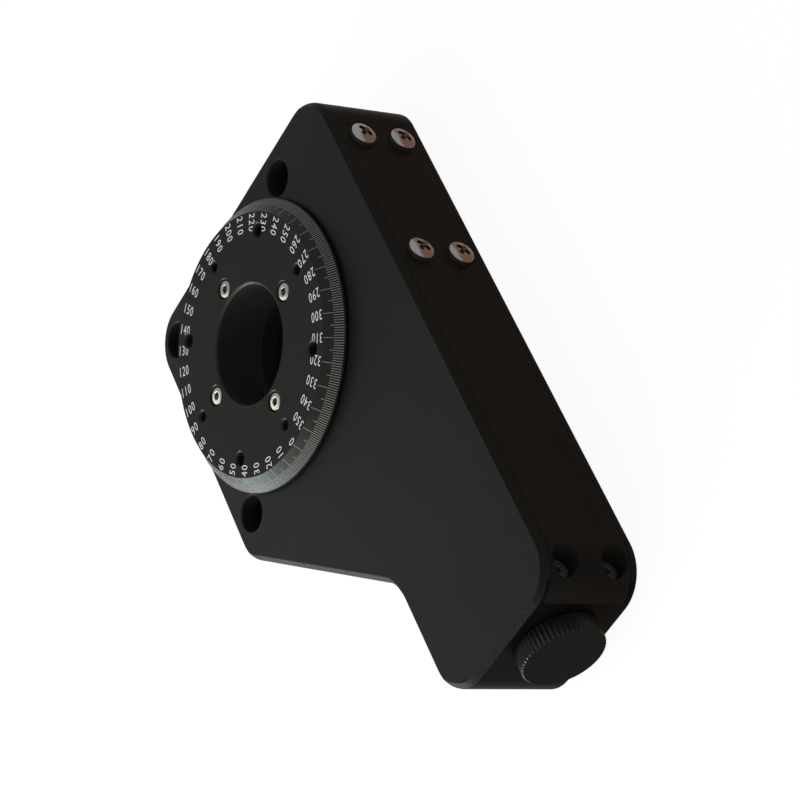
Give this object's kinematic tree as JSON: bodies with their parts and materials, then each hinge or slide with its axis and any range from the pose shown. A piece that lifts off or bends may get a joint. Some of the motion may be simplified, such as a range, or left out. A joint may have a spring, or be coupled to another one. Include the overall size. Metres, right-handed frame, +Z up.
{
  "type": "motorized rotation stage",
  "caption": "Flat motorized rotation stage: a graduated dial with a clear aperture, turned by a worm gear and a stepper motor or by a knurled hand knob.",
  "frame": {"origin": "on the dial axis, on the bottom face of the housing", "axes": "+Z up along the dial axis, X and Y along the rows of mounting holes; the worm shaft runs at 45 degrees below +X, towards the hand knob"},
  "size_m": [0.1989, 0.1607, 0.0377],
  "materials": {
    "body_anodised": "black anodised, fine bead-blasted",
    "cover_anodised": "black anodised, satin",
    "dial_anodised": "black anodised with white engraved marks",
    "screw_chrome": "bright plated",
    "screw_steel": "stainless, turned",
    "screw_black": "black oxide",
    "spindle_black": "turned and blackened",
    "spindle_steel": "turned and ground",
    "bearing_steel": "ground and polished",
    "cage_brass": "stamped",
    "wheel_bronze": "hobbed bronze",
    "worm_steel": "ground",
    "coupling_aluminium": "clear anodised",
    "spider_polymer": "cast polyurethane",
    "motor_aluminium": "die cast",
    "motor_laminations": "black varnished stack"
  },
  "bodies": {
    "base": {"housing": "body_anodised", "side_cover": "cover_anodised", "cover_screws": "screw_chrome", "end_screws": "screw_steel", "bearing_carrier": "body_anodised", "carrier_screws": "screw_black", "upper_outer_race": "bearing_steel", "lower_outer_race": "bearing_steel", "worm_outer_races": "bearing_steel", "preload_ring": "spindle_steel", "motor_bracket": "body_anodised", "bracket_screws": "screw_black", "motor_front_cap": "motor_aluminium", "motor_stator": "motor_laminations", "motor_rear_cap": "motor_aluminium", "motor_screws": "screw_black"},
    "rotor": {"platform": "dial_anodised", "platform_screws": "screw_steel", "spindle": "spindle_black", "worm_wheel": "wheel_bronze", "wheel_key": "screw_steel", "upper_inner_race": "bearing_steel", "lower_inner_race": "bearing_steel", "spindle_nut": "spindle_steel"},
    "upper_ball_set": {"upper_balls": "bearing_steel", "upper_cage": "cage_brass"},
    "lower_ball_set": {"lower_balls": "bearing_steel", "lower_cage": "cage_brass"},
    "worm_train": {"worm_shaft": "worm_steel", "worm_inner_races": "bearing_steel", "coupling_worm_hub": "coupling_aluminium", "coupling_spider": "spider_polymer", "coupling_motor_hub": "coupling_aluminium", "coupling_set_screws": "screw_black", "motor_shaft": "worm_steel", "knob": "body_anodised", "knob_set_screw": "screw_black"}
  },
  "joints": [
    {"name": "platform_rotation", "type": "hinge", "parent": "base", "child": "rotor", "pos_m": [0, 0, 0.016], "axis": [0, 0, 1], "continuous": true},
    {"name": "worm_rotation", "type": "hinge", "parent": "base", "child": "worm_train", "pos_m": [0.02793, 0.02793, 0.016], "axis": [0.7071, -0.7071, 0], "continuous": true},
    {"name": "upper_ball_orbit", "type": "hinge", "parent": "base", "child": "upper_ball_set", "pos_m": [0, 0, 0.026], "axis": [0, 0, 1], "continuous": true},
    {"name": "lower_ball_orbit", "type": "hinge", "parent": "base", "child": "lower_ball_set", "pos_m": [0, 0, 0.006], "axis": [0, 0, 1], "continuous": true}
  ],
  "couplings": [
    {"joint": "platform_rotation", "follows": "worm_rotation", "ratio": 0.011111},
    {"joint": "upper_ball_orbit", "follows": "worm_rotation", "ratio": 0.0052665},
    {"joint": "lower_ball_orbit", "follows": "worm_rotation", "ratio": 0.0052665}
  ]
}
